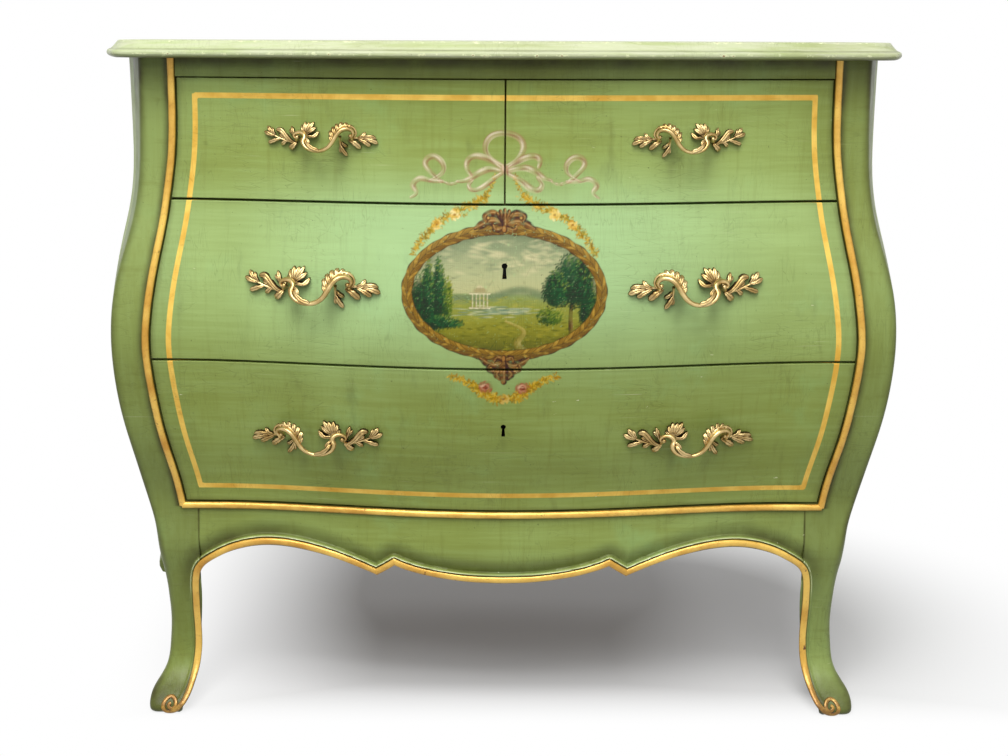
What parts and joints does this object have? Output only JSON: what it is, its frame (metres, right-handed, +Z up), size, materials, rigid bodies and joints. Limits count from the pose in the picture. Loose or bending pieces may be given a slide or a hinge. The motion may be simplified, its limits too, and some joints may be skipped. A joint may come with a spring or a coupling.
{
  "type": "bombe chest of drawers",
  "caption": "Painted bombe chest with a bowed, swelling front, shaped apron, scrolled cabriole legs, gilt beading, cast brass pulls and sliding, locking drawers.",
  "frame": {"origin": "centre of the bounding box in plan, on the floor", "axes": "+X to the viewer's right along the front, +Y to the back, +Z up; the drawers open towards -Y"},
  "size_m": [1.1744, 0.547, 0.89],
  "materials": {
    "painted_wood": "aged olive green paint, satin, with painted ribbons, flowers and a landscape",
    "gilding": "rubbed gold paint",
    "cast_brass": "antique cast brass",
    "bare_wood": "unfinished softwood",
    "drawer_wood": "waxed pale hardwood",
    "lock_iron": "dull iron",
    "steel": "plain screws"
  },
  "bodies": {
    "carcass": {"top_board": "painted_wood", "front_post_left": "painted_wood", "front_post_right": "painted_wood", "rear_post_left": "painted_wood", "rear_post_right": "painted_wood", "side_panel_left": "painted_wood", "side_panel_right": "painted_wood", "back_panel": "bare_wood", "top_rail": "painted_wood", "drawer_rail_upper": "bare_wood", "drawer_rail_lower": "bare_wood", "front_apron": "painted_wood", "bottom_board": "bare_wood", "centre_divider": "bare_wood", "runners_top": "bare_wood", "runners_middle": "bare_wood", "runners_bottom": "bare_wood", "rear_top_rail": "bare_wood", "bead_left": "gilding", "bead_right": "gilding", "bead_bottom": "gilding", "apron_bead": "gilding", "leg_bead_left": "gilding", "leg_bead_right": "gilding"},
    "drawer_top_left": {"top_left_front": "painted_wood", "top_left_side_left": "drawer_wood", "top_left_side_right": "drawer_wood", "top_left_back": "drawer_wood", "top_left_bottom": "drawer_wood", "pull_top_left": "cast_brass", "pull_screws_top_left": "steel"},
    "drawer_top_right": {"top_right_front": "painted_wood", "top_right_side_left": "drawer_wood", "top_right_side_right": "drawer_wood", "top_right_back": "drawer_wood", "top_right_bottom": "drawer_wood", "pull_top_right": "cast_brass", "pull_screws_top_right": "steel"},
    "drawer_middle": {"middle_front": "painted_wood", "middle_side_left": "drawer_wood", "middle_side_right": "drawer_wood", "middle_back": "drawer_wood", "middle_bottom": "drawer_wood", "pull_middle_left": "cast_brass", "pull_middle_right": "cast_brass", "lock_case_middle": "lock_iron", "pull_screws_middle": "steel"},
    "drawer_bottom": {"bottom_front": "painted_wood", "bottom_side_left": "drawer_wood", "bottom_side_right": "drawer_wood", "bottom_back": "drawer_wood", "bottom_bottom": "drawer_wood", "pull_bottom_left": "cast_brass", "pull_bottom_right": "cast_brass", "lock_case_bottom": "lock_iron", "pull_screws_bottom": "steel"},
    "lock_bolt_middle": {"lock_bolt_middle": "lock_iron"},
    "lock_bolt_bottom": {"lock_bolt_bottom": "lock_iron"}
  },
  "joints": [
    {"name": "top_left_drawer_slide", "type": "slide", "parent": "carcass", "child": "drawer_top_left", "axis": [0, -1, 0], "range_m": [0, 0.3]},
    {"name": "top_right_drawer_slide", "type": "slide", "parent": "carcass", "child": "drawer_top_right", "axis": [0, -1, 0], "range_m": [0, 0.3]},
    {"name": "middle_drawer_slide", "type": "slide", "parent": "carcass", "child": "drawer_middle", "axis": [0, -1, 0], "range_m": [0, 0.3]},
    {"name": "bottom_drawer_slide", "type": "slide", "parent": "carcass", "child": "drawer_bottom", "axis": [0, -1, 0], "range_m": [0, 0.3]},
    {"name": "middle_lock_bolt_slide", "type": "slide", "parent": "drawer_middle", "child": "lock_bolt_middle", "axis": [0, 0, 1], "range_m": [0, 0.008]},
    {"name": "bottom_lock_bolt_slide", "type": "slide", "parent": "drawer_bottom", "child": "lock_bolt_bottom", "axis": [0, 0, 1], "range_m": [0, 0.008]}
  ]
}
